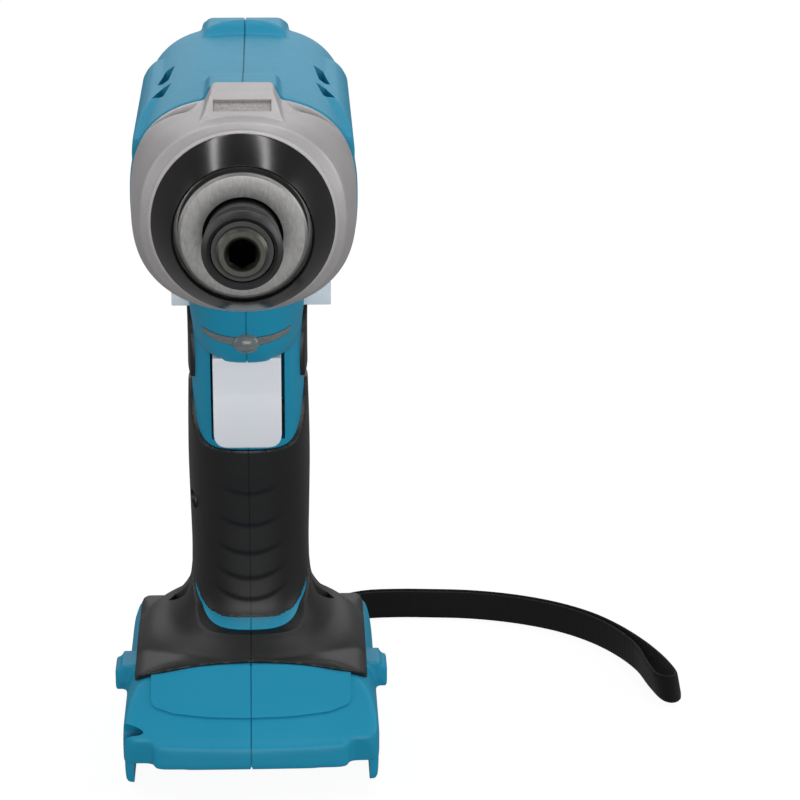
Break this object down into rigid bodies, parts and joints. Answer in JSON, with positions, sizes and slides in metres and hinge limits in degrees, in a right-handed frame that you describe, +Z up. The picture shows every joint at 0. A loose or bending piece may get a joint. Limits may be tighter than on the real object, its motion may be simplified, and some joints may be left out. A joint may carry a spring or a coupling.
{
  "type": "cordless impact driver",
  "caption": "Pistol-grip cordless impact driver without its battery: sprung hex bit sleeve, hammer drive, brushless motor, trigger, direction lever, slide-on battery foot and wrist strap.",
  "frame": {"origin": "middle of the overall length and width, on the plane of the battery rails' undersides", "axes": "+Z up along the grip, -Y along the spindle towards the bit socket, X across the two shells"},
  "size_m": [0.169, 0.167, 0.2067],
  "materials": {
    "blue_plastic": "satin moulded",
    "black_rubber": "matt",
    "cast_aluminium": "bead blasted",
    "black_plastic": "semi-gloss",
    "dark_steel": "blackened",
    "steel": "ground",
    "bearing_steel": "polished",
    "bronze": "sintered",
    "brass": "turned",
    "spring_steel": "drawn",
    "laminations": "stacked",
    "copper": "enamelled wire",
    "circuit_board": "satin",
    "nylon": "matt",
    "pale_plastic": "satin",
    "clear_plastic": "clear",
    "lead_cover": "smooth",
    "webbing": "woven"
  },
  "bodies": {
    "housing": {"housing_left": "blue_plastic", "housing_right": "blue_plastic", "web_pad_left": "black_rubber", "web_pad_right": "black_rubber", "grip_pad_left": "black_rubber", "grip_pad_right": "black_rubber", "foot_collar_left": "black_rubber", "foot_collar_right": "black_rubber", "hammer_case": "cast_aluminium", "nose_bumper": "black_plastic", "anvil_bush": "bronze", "ring_gear": "steel", "case_seal": "black_rubber", "bearing_box": "nylon", "carrier_bearing": "bearing_steel", "front_motor_bearing": "bearing_steel", "rear_motor_bearing": "bearing_steel", "stator_core": "laminations", "stator_coils": "copper", "sensor_board": "circuit_board", "switch_body": "black_plastic", "trigger_spring": "spring_steel", "controller": "black_plastic", "terminal_block": "black_plastic", "terminal_blades": "brass", "led_board": "circuit_board", "led_lens": "clear_plastic", "motor_leads": "lead_cover", "battery_leads": "lead_cover", "shell_screws": "dark_steel", "hook_nuts": "brass", "strap_pin": "steel", "wrist_strap": "webbing"},
    "anvil": {"anvil": "steel", "anvil_washer": "nylon", "sleeve_ring": "dark_steel", "sleeve_spring": "spring_steel"},
    "sleeve": {"bit_sleeve": "dark_steel"},
    "ball_a": {"lock_ball_a": "bearing_steel"},
    "ball_b": {"lock_ball_b": "bearing_steel"},
    "spindle": {"spindle": "steel", "planet_pins": "bearing_steel", "cam_balls": "bearing_steel", "spring_washer": "steel", "hammer_spring": "spring_steel"},
    "hammer": {"hammer": "steel"},
    "planet_a": {"planet_gear_a": "steel"},
    "planet_b": {"planet_gear_b": "steel"},
    "rotor": {"rotor_shaft": "steel", "sun_pinion": "steel", "rotor_core": "laminations", "fan": "black_plastic"},
    "trigger": {"trigger": "pale_plastic"},
    "lever": {"direction_lever": "clear_plastic"}
  },
  "joints": [
    {"name": "spindle_spin", "type": "hinge", "parent": "housing", "child": "spindle", "pos_m": [0, 0, 0.175], "axis": [0, -1, 0], "continuous": true},
    {"name": "anvil_spin", "type": "hinge", "parent": "housing", "child": "anvil", "pos_m": [0, -0.04, 0.175], "axis": [0, -1, 0], "continuous": true},
    {"name": "hammer_retract", "type": "slide", "parent": "spindle", "child": "hammer", "axis": [0, 1, 0], "range_m": [0, 0.007], "stiffness_N_per_m": 16000, "springref_m": -0.006, "deforming": ["hammer_spring"]},
    {"name": "rotor_spin", "type": "hinge", "parent": "housing", "child": "rotor", "pos_m": [0, 0.03, 0.175], "axis": [0, -1, 0], "continuous": true},
    {"name": "planet_a_spin", "type": "hinge", "parent": "spindle", "child": "planet_a", "pos_m": [0.01125, 0.009, 0.175], "axis": [0, -1, 0], "continuous": true},
    {"name": "planet_b_spin", "type": "hinge", "parent": "spindle", "child": "planet_b", "pos_m": [-0.01125, 0.009, 0.175], "axis": [0, -1, 0], "continuous": true},
    {"name": "sleeve_slide", "type": "slide", "parent": "anvil", "child": "sleeve", "axis": [0, -1, 0], "range_m": [0, 0.0035], "stiffness_N_per_m": 1500, "springref_m": -0.003, "deforming": ["sleeve_spring"]},
    {"name": "ball_a_out", "type": "slide", "parent": "anvil", "child": "ball_a", "axis": [1, 0, 0], "range_m": [0, 0.000875]},
    {"name": "ball_b_out", "type": "slide", "parent": "anvil", "child": "ball_b", "axis": [-1, 0, 0], "range_m": [0, 0.000875]},
    {"name": "trigger_pull", "type": "slide", "parent": "housing", "child": "trigger", "axis": [0, 1, 0], "range_m": [0, 0.007], "stiffness_N_per_m": 900, "springref_m": -0.004, "deforming": ["trigger_spring"]},
    {"name": "direction_slide", "type": "slide", "parent": "housing", "child": "lever", "axis": [1, 0, 0], "range_m": [-0.0038, 0]}
  ],
  "couplings": [
    {"joint": "anvil_spin", "follows": "spindle_spin", "ratio": 1},
    {"joint": "rotor_spin", "follows": "spindle_spin", "ratio": 6.6667},
    {"joint": "planet_a_spin", "follows": "spindle_spin", "ratio": -2.4286},
    {"joint": "planet_b_spin", "follows": "spindle_spin", "ratio": -2.4286},
    {"joint": "ball_a_out", "follows": "sleeve_slide", "ratio": 0.25},
    {"joint": "ball_b_out", "follows": "sleeve_slide", "ratio": 0.25}
  ]
}
